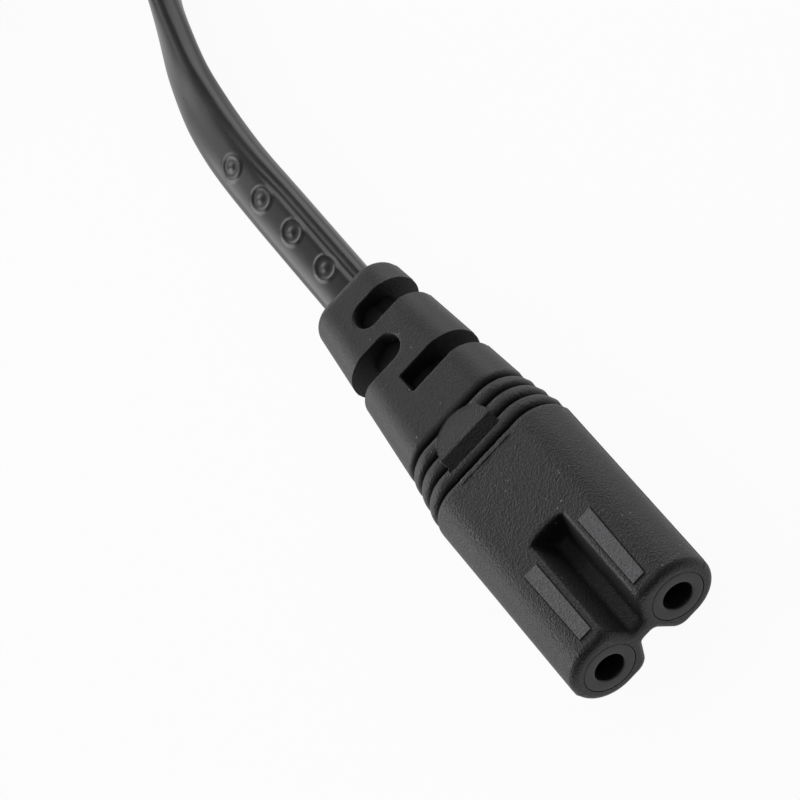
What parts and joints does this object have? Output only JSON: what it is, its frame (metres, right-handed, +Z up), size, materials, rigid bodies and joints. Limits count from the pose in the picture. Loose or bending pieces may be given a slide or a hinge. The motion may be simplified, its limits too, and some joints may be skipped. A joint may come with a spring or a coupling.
{
  "type": "figure eight power connector",
  "caption": "Moulded figure-eight appliance connector with grooved nose, ribbed collar and slotted bend relief, on a flat cord tied in a hank that ends in a slim mains plug.",
  "frame": {"origin": "centre of the connector's underside, on the surface that it lies on", "axes": "+Y from the mating face towards the cord, +Z up, +X to the right when looking along +Y"},
  "size_m": [0.0532, 0.2508, 0.0263],
  "materials": {
    "moulded_pvc": "fine spark-eroded matte",
    "socket_insert": "smooth satin",
    "cord_jacket": "semi-gloss flexible PVC",
    "tie_plastic": "satin",
    "contact_brass": "bright rolled",
    "conductor_copper": "bright stranded",
    "brown_insulation": "satin",
    "blue_insulation": "satin",
    "pin_nickel": "bright nickel plate"
  },
  "bodies": {
    "root": {"connector_overmould": "moulded_pvc", "contact_carrier": "socket_insert", "left_contact": "contact_brass", "right_contact": "contact_brass", "left_core": "brown_insulation", "right_core": "blue_insulation", "left_conductor": "conductor_copper", "right_conductor": "conductor_copper", "cord_lead": "cord_jacket", "cord_hank": "cord_jacket", "cord_tail": "cord_jacket", "left_tie": "tie_plastic", "right_tie": "tie_plastic", "plug_overmould": "moulded_pvc", "plug_left_pin": "pin_nickel", "plug_right_pin": "pin_nickel", "plug_left_pin_sleeve": "socket_insert", "plug_right_pin_sleeve": "socket_insert", "plug_left_core": "brown_insulation", "plug_right_core": "blue_insulation", "plug_left_conductor": "conductor_copper", "plug_right_conductor": "conductor_copper"}
  },
  "joints": []
}
